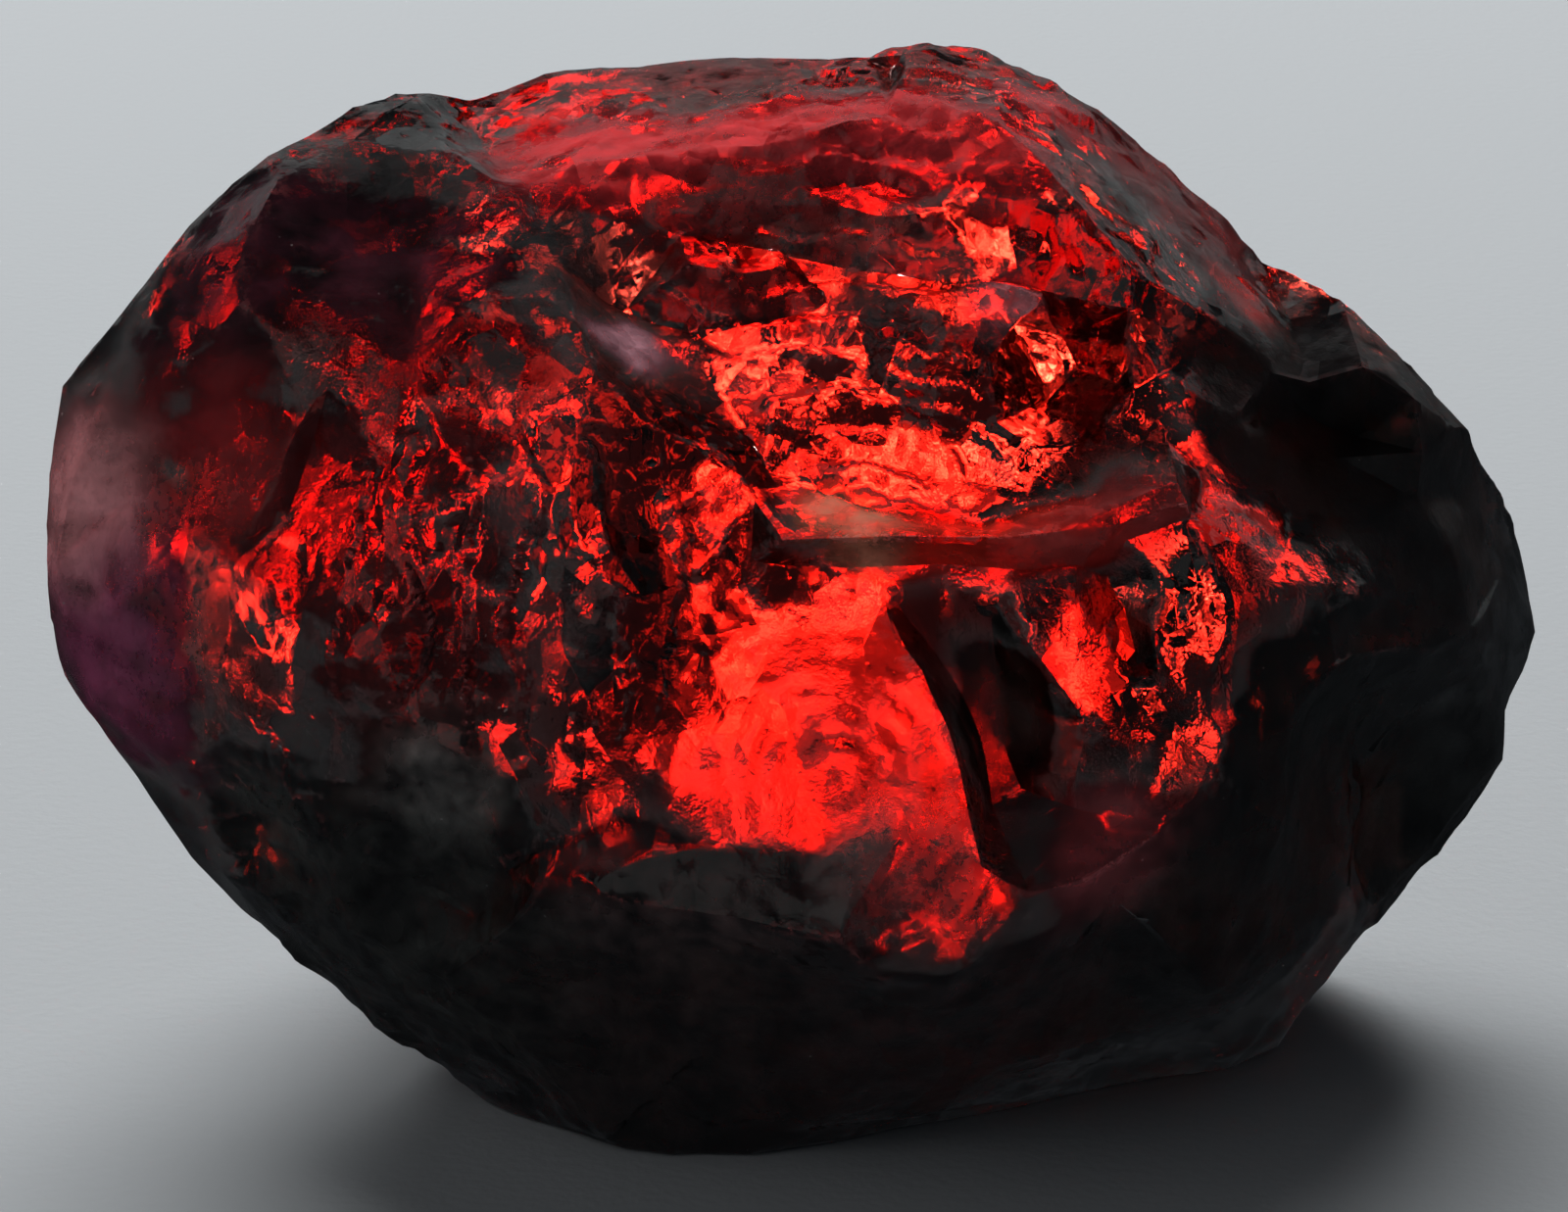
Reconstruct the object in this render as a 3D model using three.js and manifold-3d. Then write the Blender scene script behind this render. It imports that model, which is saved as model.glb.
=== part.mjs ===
// Rough painite: one broken crystal fragment, about 20 mm across, lying on a flat cleavage face.
//
// It is made the way such a stone comes about. A blank, the convex hull of the outermost corners, is
// broken along its front into ledges, walls and hollows, split along flat breaks at the back, flaked
// by shell-shaped (conchoidal) scars, and nicked along its edges. The faces are then refined, and
// warped a little, because no break in a brittle mineral is dead flat.
//
// Frame: millimetres, +Z up, -Y towards the side that shows the ledge, origin under the middle of the
// stone at the level it rests on.
import * as THREE from "three";
import { ConvexGeometry } from "three/addons/geometries/ConvexGeometry.js";
import { ImprovedNoise } from "three/addons/math/ImprovedNoise.js";
import { mergeVertices } from "three/addons/utils/BufferGeometryUtils.js";
import Module from "manifold-3d";

const wasm = await Module();
wasm.setup();

// ---- Driving dimensions -------------------------------------------------------------------------
const LONGEST_EDGE = 0.85; // of the finished faces
const SHORTEST_EDGE = 0.3; // shorter edges are drawn together before the faces are refined
const RIDGE_STEP = 0.9; // along the drawn ridges of the front, a corner at least this often
const CREASE = 0.94; // two faces whose directions' dot product is under this meet in a real edge
const SLIVER = 0.002; // a face of less area, in square mm, may turn as edges are drawn together
const KEPT_FACING = 0.5; // and any other keeps at least this share of its direction
const FOOT_CUT = 0.28; // how much of the warped underside the rest face takes off
const SWELL = { amplitude: 0.24, wavelength: 3.6 }; // slow waviness of every break
const GRAIN = { amplitude: 0.05, wavelength: 1.1 }; // hackle on top of it
const RAGGED = [{ amplitude: 0.9, wavelength: 3.1 }]; // of the balls that make the shell-shaped scars
const NICKS = { count: 40, seed: 11, bite: 0.16 }; // small chips off exposed corners
const FACING_UP = 20; // degrees above level that the front of the stone looks
const FAR = 60; // reach of a half-space block, well past the stone

// ---- The blank: outermost corners, right (x), back (y), up (z) ----------------------------------
const CORNERS = {
  foot: [
    [-3.2, -2.8, -0.1], [-2.2, -3.8, -0.1], [-1.5, -4.3, -0.1], [-0.8, -4.0, -0.1], [0.6, -2.7, 0],
    [2.2, -1.4, 0], [5.8, -1.1, -0.1], [6.6, -0.4, 0], [6.9, 1.4, 0.1], [5.8, 3.2, -0.1],
    [2.4, 4.2, -0.1], [-2.9, 3.2, -0.1],
  ],
  leftUnderside: [
    [-3.9, -3.2, 0.7], [-6.3, -2.0, 1.8], [-7.7, -1.4, 3.2], [-8.9, -1.0, 4.7], [-9.6, -0.6, 5.5],
  ],
  leftTip: [
    [-9.8, -0.5, 6.7], [-9.6, 0.2, 8.3], [-9.5, 0.6, 9.1], [-8.5, 1.0, 10.3], [-7.2, 0.6, 12.1],
  ],
  crown: [
    [-5.5, 2.5, 12.5], [-4.8, 3.2, 12.4], [-3.7, 5.0, 12.2], [-2.4, 5.6, 12.3], [0.4, 5.4, 12.2],
    [2.1, 3.7, 13.0], [3.2, 3.5, 12.8], [4.1, 3.0, 12.4],
  ],
  rightShoulder: [
    [5.2, 2.2, 11.4], [6.6, 1.5, 10.4], [8.3, 1.0, 9.6], [8.9, 0.3, 9.1],
  ],
  rightTip: [
    [9.9, 3.0, 6.2], [10.3, 2.5, 4.8], [10.1, 1.6, 3.4], [9.2, 1.0, 2.7], [7.9, 0.3, 1.7],
  ],
  front: [
    [-6.4, -6.0, 10.2], [-2.6, -7.0, 12.0], [1.3, -6.0, 13.0], [5.0, -7.0, 11.0], [6.9, -6.5, 8.6],
    [6.2, -7.5, 5.8], [2.4, -9.0, 5.7], [-1.2, -9.0, 6.3], [-4.3, -8.0, 7.2], [-6.8, -6.0, 7.4],
  ],
  back: [
    [-6.5, 5.0, 7.5], [-8.6, 2.6, 6.4], [-2.0, 7.3, 6.5], [3.5, 7.0, 7.0], [7.6, 5.2, 6.4],
    [-4.6, 5.0, 1.6], [0.5, 6.0, 1.7], [5.0, 4.8, 1.9], [8.2, 3.4, 2.6], [-5.8, 4.6, 11.0],
    [-1.5, 6.8, 10.6], [2.6, 6.2, 11.0], [5.8, 4.4, 10.2],
  ],
};

// ---- The front: the ridges, lips and valleys between its broken faces, each as a line of corners --
// "around" runs round outside the stone, just in front of its outline, and so bounds the front.
const FRONT = {
  "around": [
    [-11.26, -1.4, 7.06], [-11.11, -0.8, 9.29], [-9.79, -0.4, 11.57], [-7.9, 0.4, 13.05],
    [-6.07, 2, 13.66], [-4.56, 3, 13.72], [-1.32, 4.4, 14.08], [2.07, 2.6, 14.7], [4.37, 1.6, 14.04],
    [6.15, 0.8, 12.8], [7.91, 0, 11.71], [9.96, -0.4, 10.5], [11.22, 1, 8], [12.16, 1.4, 5.35],
    [11.89, 0.6, 3.11], [10.28, -0.2, 1.72], [9.49, -0.6, 0.61], [8.28, -1.4, -0.91], [6, -2.4, -1.32],
    [2.58, -3.6, -1.47], [-1.28, -4.6, -1.71], [-4.23, -4.2, -0.91], [-6.83, -3.2, 0.18],
    [-9.15, -2.4, 2.35], [-10.8, -1.8, 4.61],
  ],
  "left block, top rim": [
    [-7.2, 0, 12.22], [-6.77, 0.4, 12.28], [-6.02, 0.7, 12.33], [-5.13, 0.8, 12.3], [-4.47, 0.9, 12.35],
  ],
  "left block, right edge": [
    [-4.8, 2.6, 12.44], [-4.24, 0.9, 12.24], [-3.67, 0.1, 12.05], [-3.09, -0.7, 11.71],
    [-2.84, -1.1, 11.41],
  ],
  "left block, foot": [
    [-2.84, -1.1, 11.41], [-3.69, -2, 11.21], [-4.29, -2.6, 10.81], [-4.81, -2.8, 10.51],
    [-5.68, -2.7, 10.35],
  ],
  "left block, corner": [
    [-7.2, 0, 12.22], [-7.4, -0.9, 11.59], [-6.91, -1.9, 10.98], [-5.68, -2.7, 10.35],
  ],
  "left block, dent": [[-5.61, 0.1, 12.08], [-5.33, -0.6, 11.5], [-4.54, -1.5, 11.12]],
  "left block, knob": [[-6.49, -0.2, 12.04], [-6.32, -1, 11.62], [-5.9, -1.8, 11.21]],
  "plateau, left end": [[-4.55, 4, 12.2], [-3.96, 2.2, 11.96], [-3.45, 0.9, 11.97]],
  "plateau, front edge": [
    [-3.38, 0.5, 11.99], [-2.56, 0.5, 12.24], [-1.28, 0.4, 12.47], [0, 0.3, 12.59], [1.34, 0.7, 12.78],
  ],
  "plateau, back of the strip": [
    [-3.82, 1.6, 11.87], [-3.11, 1.8, 12.11], [-2.07, 1.9, 12.29], [-0.78, 2, 12.51], [0.39, 2, 12.66],
    [1.42, 1.9, 12.78],
  ],
  "plateau, rear": [
    [-4.38, 4.3, 12.19], [-3.19, 4.6, 12.41], [-1.33, 4.5, 12.47], [0.53, 4.2, 12.5],
    [1.51, 3.6, 12.61],
  ],
  "upper wall, pocket lip": [[-1.4, -0.3, 11.5], [-0.76, -0.2, 11.39], [-0.05, -0.3, 11.24]],
  "upper wall, pocket floor": [[-1.27, -1, 11.41], [-0.66, -1.1, 11.22], [-0.05, -0.9, 11.23]],
  "upper wall, foot": [
    [-2.84, -1.1, 11.41], [-2.03, -1, 10.72], [-1.27, -1.3, 10.52], [-0.25, -1.3, 10.66],
    [0.63, -1.1, 10.7], [1.27, -0.8, 11.03], [2.02, -1.2, 11.02],
  ],
  "upper wall, bulge": [
    [-2.04, -0.1, 11.87], [-1.02, -0.1, 12.06], [0.38, -0.2, 12.04], [1.27, 0, 12.11],
  ],
  "peak, left edge": [[1.34, 0.7, 12.78], [1.61, 1.6, 12.95], [1.75, 2.4, 13.12], [1.89, 2.8, 13.17]],
  "peak, crest": [
    [2.05, 0.9, 12.93], [2.68, 0.5, 12.76], [3.25, 0.1, 12.58], [3.93, -0.4, 12.28],
    [4.37, -0.9, 11.91], [4.45, -1.1, 11.41], [4.45, -1.3, 10.92],
  ],
  "peak, brow": [[2.59, 2.2, 13], [2.05, 0.9, 12.93]],
  "peak, foot": [[1.39, -0.7, 11.77], [2.02, -0.8, 11.93], [2.54, -0.5, 12.05], [3.3, -0.4, 12.1]],
  "peak, hollow": [[1.91, 0.3, 12.55], [2.35, -0.1, 12.41], [1.72, -0.3, 12]],
  "peak, right foot": [[3.3, -0.4, 12.1], [3.55, -0.8, 11.56], [3.29, -1, 10.96]],
  "chip, top": [[2.02, -1.2, 11.02], [2.53, -1.3, 11.11], [3.18, -1.3, 10.97]],
  "chip, foot": [[1.64, -1.6, 10.86], [2.07, -1.9, 10.65], [2.51, -2, 10.41], [3.18, -1.5, 10.96]],
  "hole, floor": [[3.05, -0.8, 10.36], [3.63, -0.7, 10.26], [3.82, -0.9, 9.86], [3.43, -1.3, 9.59]],
  "hole, right edge": [
    [4.45, -1.3, 10.92], [4.39, -1.6, 10.49], [4.43, -2, 9.96], [4.67, -2.4, 9.67], [4.96, -2.6, 9.63],
  ],
  "hole, left edge": [[2.64, -1.9, 10.19], [2.7, -2.3, 9.66], [3.14, -2.5, 9.43], [3.77, -2.5, 9.46]],
  "shoulder, step": [[4.47, -0.4, 11.91], [4.97, 0, 11.82], [5.7, 0.6, 11.82]],
  "shoulder, step foot": [[4.5, -0.9, 11.91], [5.01, -0.5, 11.84], [5.75, 0.2, 11.81]],
  "shoulder, upper rim": [[3.69, 1.9, 12.97], [4.11, 0.9, 12.51], [4.42, 0.2, 12.05]],
  "basin, rim": [
    [4.45, -1.3, 10.92], [4.97, -0.9, 11.06], [5.68, -0.4, 10.95], [6.55, -0.2, 10.6],
    [7.41, -0.4, 10.12], [8.29, -0.1, 9.92], [8.78, 0.1, 9.42], [8.84, 0.3, 8.78], [8.48, -0.2, 8.27],
    [8.18, -0.9, 7.7], [8.38, -1, 6.92],
  ],
  "basin, left edge": [
    [4.45, -1.3, 10.92], [4.61, -1.9, 10.06], [5.02, -2.6, 9.52], [5.26, -3.3, 9.11],
    [5.59, -3.5, 8.55], [6.08, -3.9, 7.63],
  ],
  "basin, grey facet edge": [
    [5.02, -1, 10.72], [6.25, -0.8, 9.77], [6.89, -0.6, 9.88], [7.68, -0.4, 9.82], [8.19, -0.3, 9.28],
    [8.34, -0.5, 8.65],
  ],
  "basin, grey facet foot": [[6.25, -0.8, 9.77], [5.84, -1.9, 9.39], [5.53, -2.6, 8.96]],
  "basin, floor": [[6.95, -0.1, 8.92], [7.55, 0.1, 8.71], [7.04, -0.9, 8.38], [6.6, -1.9, 8.05]],
  "basin, lower lip": [[5.59, -3.5, 8.55], [6.42, -2.8, 7.97], [7.22, -2.1, 7.85], [8.18, -0.9, 7.7]],
  "basin, lower step": [[6.51, -3.4, 7.78], [7.45, -2.6, 7.36], [8.38, -1, 6.92]],
  "far right, edge": [[9.12, 1, 8.41], [9.28, 1.2, 7.24], [9.63, 1.3, 6.23], [9.96, 1.2, 5.56]],
  "far right, front": [[8.55, -0.1, 7.96], [8.77, -0.5, 7.28], [9.05, -0.6, 6.22], [9.37, -0.3, 5.28]],
  "right ridge": [
    [9.78, 0.6, 4.94], [9.27, -0.4, 4.76], [8.53, -1.6, 4.53], [7.68, -2.8, 4.18], [6.93, -3.6, 4.25],
  ],
  "right mass, crest": [
    [6.08, -3.9, 7.63], [6.23, -4.2, 6.88], [6.11, -4.5, 6.06], [5.47, -5.1, 5.23], [5.17, -5.2, 5.03],
  ],
  "right mass, facet": [[7.47, -2.5, 6.92], [7.59, -3, 6.03], [7.04, -3.9, 5.29]],
  "right mass, lower": [[6.93, -3.6, 4.25], [6.75, -3.3, 3.14], [6.59, -2.7, 1.92], [6.55, -1.7, 0.48]],
  "right mass, under": [[8.51, -1.2, 3.12], [8.08, -1.2, 2.42], [7.72, -1.1, 1.39], [7.16, -1, 0.44]],
  "front corner": [[5.17, -5.2, 5.03], [5.33, -4.9, 3.94], [5.47, -4.1, 2.51], [5.75, -2.5, 0.74]],
  "hollow, left ridge": [
    [-2.84, -1.1, 11.41], [-2.5, -2.5, 10.96], [-1.99, -3.1, 10.32], [-1.47, -3.3, 9.86],
    [-0.72, -3.2, 9.67], [-0.22, -3.7, 9.05], [-0.5, -4, 8.86],
  ],
  "hollow, lilac chip": [
    [-2.36, -2.1, 10.91], [-1.71, -1.8, 10.61], [-1.1, -2.4, 10.14], [-0.6, -2.7, 9.82],
  ],
  "hollow, spine": [[1.01, -1.4, 10.62], [1.26, -2.1, 9.72], [1.63, -3.1, 8.94]],
  "hollow, shelf": [[-1.01, -1.9, 10.29], [-0.25, -1.8, 10.34], [0.63, -1.9, 10.29], [1.2, -2, 9.96]],
  "hollow, step": [[-0.5, -2.7, 9.85], [0.38, -2.5, 9.91], [1.13, -2.3, 9.82]],
  "hollow, step foot": [[-0.38, -2.6, 9.63], [0.38, -2.4, 9.69], [1.16, -2.3, 9.63]],
  "hollow, trough": [[1.82, -2.3, 9.53], [2.51, -2.4, 9.4], [3.16, -2.9, 9.12], [3.62, -3.1, 9.06]],
  "ledge, back": [
    [0, -3.1, 9.11], [0.62, -3.2, 8.96], [1.31, -3.4, 8.79], [2.12, -3.3, 8.86], [3.13, -3.1, 8.98],
    [3.9, -2.9, 9.25], [4.96, -2.6, 9.63],
  ],
  "ledge, lip": [
    [-0.5, -4, 8.86], [0.15, -4.4, 8.79], [0.89, -4.6, 8.79], [2, -4.4, 8.83], [2.97, -4.2, 8.85],
    [3.54, -4.1, 8.96], [4.34, -4, 9.12], [5.23, -3.8, 9.29],
  ],
  "ledge, upper lip": [
    [1.3, -3.9, 8.89], [2.24, -3.8, 8.88], [3.23, -3.6, 9.02], [4.11, -3.4, 9.21], [5.05, -3.2, 9.33],
  ],
  "ledge, under": [
    [-0.3, -4, 8.5], [0.32, -4, 8.24], [1.02, -4.05, 8.2], [1.99, -4, 8.26], [2.93, -4, 8.37],
    [3.73, -3.9, 8.47], [4.48, -3.7, 8.61], [5.31, -3.5, 8.77],
  ],
  "main ridge": [
    [-2.59, -2.7, 10.98], [-2.45, -3.9, 9.94], [-2.3, -4.6, 9], [-2.05, -5.2, 7.78],
    [-1.97, -5.5, 6.97], [-2.07, -5.7, 6.13],
  ],
  "slope, crease": [[-1.86, -3.6, 9.57], [-1.49, -4, 8.79], [-1.24, -4.4, 8.15], [-1.36, -4.8, 7.76]],
  "slope, foot": [[-0.5, -4, 8.86], [-0.3, -4.1, 8.3], [0.32, -4.2, 7.99], [0.99, -4.35, 7.84]],
  "block, left edge": [
    [1.37, -4.2, 8.02], [1.66, -4.3, 7.58], [2.09, -4.4, 6.96], [2.44, -4.5, 6.26], [2.64, -4.85, 5.4],
  ],
  "block, right edge": [
    [2.63, -4.15, 8.11], [2.66, -4.3, 7.45], [2.71, -4.4, 6.82], [2.69, -4.55, 6.08],
  ],
  "chunk": [
    [3.03, -4.2, 8.27], [2.99, -4.75, 7.68], [3.36, -5, 7.31], [3.69, -4.5, 7.97], [3.87, -4.1, 8.38],
  ],
  "notch": [[4.19, -3.7, 8.16], [4.36, -3.95, 7.85], [4.47, -4.3, 7.38], [4.08, -4.8, 7.11]],
  "square facet": [
    [5.37, -3.9, 8.39], [6.04, -4.25, 7.62], [5.6, -4.75, 7.03], [4.75, -4.85, 7.1],
    [4.72, -4.25, 7.85], [5.37, -3.9, 8.39],
  ],
  "block, foot": [[3.36, -5, 7.31], [3.83, -5.1, 6.62], [4.58, -5.1, 6.27], [5.59, -4.8, 6.24]],
  "block, dent": [[3.59, -5.15, 5.98], [4.46, -5.15, 5.62]],
  "half moon, top": [
    [2.64, -4.85, 5.4], [2.99, -4.7, 5.56], [3.72, -5.1, 5.47], [4.47, -5.2, 5.27], [5.17, -5.2, 5.03],
  ],
  "half moon, foot": [
    [2.51, -6.2, 5.14], [2.81, -6.2, 4.76], [3.23, -6.1, 4.66], [3.98, -5.85, 4.71], [4.79, -5.4, 4.81],
    [5.17, -5.2, 5.03],
  ],
  "half moon, gap": [[2.84, -6.1, 4.5], [3.59, -5.8, 4.31], [4.35, -5.5, 4.32], [4.98, -5.1, 4.42]],
  "triangle, top": [[0.32, -6.25, 5.1], [0.81, -6.12, 5.47], [1.47, -6.05, 5.66], [2.29, -5.95, 5.72]],
  "triangle, right": [
    [2.29, -5.9, 5.7], [2.51, -6.2, 5.14], [2.73, -6.35, 4.53], [2.94, -6.2, 4.1], [2.34, -6.45, 3.86],
  ],
  "triangle, foot": [[0.64, -6.9, 4.49], [1.23, -6.6, 3.7], [1.96, -6.2, 3.13], [2.34, -6.45, 3.86]],
  "dish, top": [[-0.74, -4.5, 7.73], [0, -4.45, 7.72], [0.62, -4.5, 7.6]],
  "dish, right edge": [
    [0.99, -4.35, 7.84], [1.3, -4.6, 7.63], [1.73, -5.1, 7.22], [2.04, -5.5, 6.64], [2.29, -5.95, 5.72],
  ],
  "dish, floor": [
    [-0.49, -5.1, 7.22], [0.37, -4.95, 7.29], [1.11, -5.45, 6.69], [0.98, -5.9, 5.94], [0.25, -6, 5.72],
    [-0.74, -5.8, 6.17], [-1.05, -5.4, 6.8], [-0.49, -5.1, 7.22],
  ],
  "dish, eye": [[0, -5.4, 6.67], [0.49, -5.8, 6.17]],
  "dish, left rim": [
    [-1.36, -4.8, 7.76], [-1.91, -5.4, 7.2], [-2.04, -5.7, 6.39], [-1.48, -6, 5.65],
    [-0.74, -6.1, 5.25], [0.32, -6.2, 5.08],
  ],
  "spear, top": [
    [-3.07, -5.9, 4.41], [-2.47, -5.9, 4.7], [-1.73, -6, 5], [-0.74, -6.1, 5.23], [0.32, -6.2, 5.08],
  ],
  "spear, foot": [[-3.07, -5.9, 4.41], [-1.97, -6.3, 4.49], [-0.74, -6.7, 4.57], [0.64, -6.9, 4.49]],
  "black face": [[-3.75, -5.1, 3.61], [-2.5, -5.4, 3.2], [-1, -5.7, 3.19], [0.37, -5.9, 3.14]],
  "left face, knuckle": [
    [-4.96, -3.9, 9.28], [-4.32, -4.1, 9.59], [-4.01, -4.5, 9.1], [-2.95, -4.6, 9.26], [-2.3, -4.6, 9],
  ],
  "left face, ridge": [
    [-5.24, -4.3, 8.69], [-5.5, -4.55, 7.67], [-5.83, -4.65, 6.92], [-6.16, -4.4, 6.22],
  ],
  "left face, second ridge": [[-4.79, -4.45, 8.69], [-4.91, -4.8, 7.76], [-5.14, -5, 6.78]],
  "left face, third ridge": [[-3.44, -4.8, 8.81], [-3.32, -5.15, 7.89], [-2.96, -5.4, 6.8]],
  "left face, valley": [[-4.08, -4.5, 8.44], [-4.14, -4.8, 7.5], [-3.96, -5.1, 6.69]],
  "left face, upper": [[-3.98, -3.2, 10.09], [-3.35, -3.6, 9.97], [-2.98, -3.2, 10.35]],
  "lobe, thin ridge": [
    [-5.68, -2.7, 10.35], [-6.22, -2.9, 9.73], [-6.38, -3, 9.26], [-6.89, -3.1, 8.58],
    [-7.66, -3.1, 7.68], [-8.21, -2.6, 7.47],
  ],
  "lobe, thin ridge foot": [
    [-6.04, -2.8, 9.3], [-6.31, -3.1, 8.74], [-6.89, -3.2, 8.11], [-7.33, -3.4, 7.65],
  ],
  "lobe, tan facet": [
    [-8.1, -0.3, 10.36], [-8.31, -0.9, 9.59], [-8.26, -1.5, 8.85], [-8.48, -1.9, 7.84],
  ],
  "lobe, tan facet foot": [
    [-9.52, -0.6, 8.55], [-8.96, -1.1, 7.77], [-8.48, -1.9, 7.84], [-7.96, -2.4, 7.77],
    [-8.21, -2.6, 7.47],
  ],
  "lobe, shell": [[-7.4, -1.3, 10.66], [-7.58, -1.7, 9.86], [-7.43, -2.2, 9.23]],
  "lobe, foot": [
    [-8.99, -1.6, 5.29], [-8.18, -2.3, 5.05], [-7.45, -3, 5.35], [-6.98, -3.5, 6.11],
    [-6.23, -4.2, 6.88], [-5.83, -4.5, 7.13],
  ],
  "lobe, chin": [[-9.7, -1, 6.92], [-9.09, -1.5, 6.55], [-8.86, -1.7, 5.33]],
  "under, first pit": [
    [-8.35, -1.9, 4.51], [-7.66, -2.5, 4.74], [-7.4, -2.5, 3.92], [-7.04, -2.7, 3.45],
  ],
  "under, first pit floor": [[-6.99, -2.9, 5.04], [-6.62, -2.9, 4.35], [-6.5, -3, 3.71]],
  "under, partition": [
    [-6.16, -4.4, 6.22], [-5.82, -4.3, 5.18], [-5.64, -4.2, 4.19], [-5.05, -4.3, 2.94],
  ],
  "under, powdery ridge": [
    [-5.14, -5, 6.78], [-4.32, -5.3, 6.3], [-3.55, -5.5, 6.05], [-3.2, -5.8, 5.61], [-2.47, -5.9, 4.7],
  ],
  "under, second pit": [[-4.74, -4.7, 5.14], [-3.98, -4.9, 5.15], [-3.48, -5.2, 4.6]],
  "under, second pit floor": [[-4.64, -4.4, 4.27], [-4.14, -4.5, 4.18], [-3.89, -4.7, 3.86]],
  "under, long ridge": [
    [-7.67, -2, 3.3], [-6.38, -3.2, 2.96], [-5.05, -4.3, 2.94], [-4.03, -4.8, 2.54],
    [-2.65, -4.9, 1.83], [-1.9, -4.6, 1.22],
  ],
  "under, front ridge": [
    [-1.9, -4.6, 1.22], [-1.27, -4.7, 1.2], [-0.48, -5, 1.67], [0.63, -5.4, 2.14], [1.63, -5.5, 2.32],
    [2.36, -5.8, 2.88], [3, -5.9, 3.41],
  ],
  "under, foot": [
    [-6.31, -2.6, 2.02], [-4.73, -3.6, 1.33], [-3.06, -4.2, 0.69], [-1.53, -4.3, 0.25],
    [-0.51, -4.3, 0.67], [0.51, -4.4, 0.88], [1.65, -4.6, 1.41],
  ],
  "under, right face": [[3, -5.9, 3.41], [2.94, -6.2, 4.1]],
  "under, right foot": [
    [1.65, -4.6, 1.41], [3.06, -4, 1.31], [4.51, -3, 0.93], [5.75, -2.5, 0.74], [6.55, -1.7, 0.48],
    [7.16, -1, 0.44],
  ],
};

// ---- Flat breaks: each takes away what lies beyond all of its planes ----------------------------
// A plane is a point on it and the way it faces, out of the stone.
const BREAKS = {
  shoulderDip: [
    { at: [6.2, 1.2, 10.35], facing: [0.62, -0.1, 0.78] },
    { at: [7.0, 1.0, 10.0], facing: [-0.3, -0.2, 0.93] },
  ],
  rearSlope: [{ at: [2.0, 6.0, 9.3], facing: [0.15, 0.88, 0.45] }],
  rearUnder: [{ at: [-1.0, 6.2, 3.6], facing: [-0.2, 0.85, -0.5] }],
  rearStep: [
    { at: [-3.6, 4.7, 8.4], facing: [-0.5, 0.85, 0.1] },
    { at: [-3.8, 4.9, 7.2], facing: [0.2, 0.25, 1] },
    { at: [-1.6, 5.0, 8.0], facing: [-1, 0.4, -0.2] },
  ],
  rearNotch: [
    { at: [5.2, 4.4, 6.2], facing: [0.55, 0.8, -0.1] },
    { at: [5.0, 5.0, 5.4], facing: [0.1, 0.35, -0.9] },
    { at: [2.6, 5.0, 4.0], facing: [1, 0.2, -0.3] },
  ],
  leftStep: [
    { at: [-8.3, 1.8, 7.0], facing: [-0.9, 0.3, -0.3] },
    { at: [-8.3, 1.6, 7.6], facing: [0.1, 0.6, -0.8] },
  ],
};

// ---- Shell-shaped scars: a ball of this radius bites this deep at a point, from the way it faces -
const SCARS = {
  rightFlank: { at: [8.9, -0.9, 4.9], facing: [0.72, -0.66, -0.2], radius: 9.0, depth: 0.45 },
  rearShell: { at: [-2.4, 6.9, 5.2], facing: [-0.3, 0.93, -0.2], radius: 9.0, depth: 0.8 },
  rearTop: { at: [2.4, 6.0, 10.4], facing: [0.15, 0.8, 0.6], radius: 7.0, depth: 0.6 },
  rearPit: { at: [6.6, 4.4, 3.4], facing: [0.6, 0.7, -0.4], radius: 7.0, depth: 0.7 },
  leftRear: { at: [-8.2, 3.0, 9.2], facing: [-0.7, 0.5, 0.5], radius: 7.0, depth: 0.6 },
  leftUnder: { at: [-6.4, 2.4, 3.4], facing: [-0.7, 0.3, -0.65], radius: 8.0, depth: 0.7 },
};

// ---- Solids -------------------------------------------------------------------------------------
const vector = ([x, y, z]) => new THREE.Vector3(x, y, z);

/** A closed three.js geometry as a manifold-3d solid. */
function solidOf(geometry) {
  const bare = geometry.index ? geometry.toNonIndexed() : geometry;
  const merged = mergeVertices(
    new THREE.BufferGeometry().setAttribute("position", bare.getAttribute("position")),
    1e-4,
  );
  const mesh = new wasm.Mesh({
    numProp: 3,
    vertProperties: merged.attributes.position.array,
    triVerts: new Uint32Array(merged.index.array),
  });
  return new wasm.Manifold(mesh);
}

/** Everything beyond a plane, as a block that stands on it. */
function beyond({ at, facing }) {
  const turn = new THREE.Quaternion().setFromUnitVectors(
    new THREE.Vector3(0, 0, 1),
    vector(facing).normalize(),
  );
  const block = new THREE.BoxGeometry(FAR, FAR, FAR).translate(0, 0, FAR / 2);
  return solidOf(block.applyQuaternion(turn).translate(...at));
}

/** The blank: the convex hull of all corners. */
function blank() {
  return solidOf(new ConvexGeometry(Object.values(CORNERS).flat().map(vector)));
}

/** Takes away what lies beyond every one of the planes. */
function split(stone, planes) {
  return stone.subtract(planes.map(beyond).reduce((chunk, next) => chunk.intersect(next)));
}

/** A line of corners with more of them between, so that none are further apart than the step. */
function subdivide(line, step) {
  return line.flatMap((corner, i) => {
    if (i === 0) return [corner];
    const pieces = Math.ceil(line[i - 1].distanceTo(corner) / step);
    return Array.from({ length: pieces }, (_, k) => line[i - 1].clone().lerp(corner, (k + 1) / pieces));
  });
}

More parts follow.
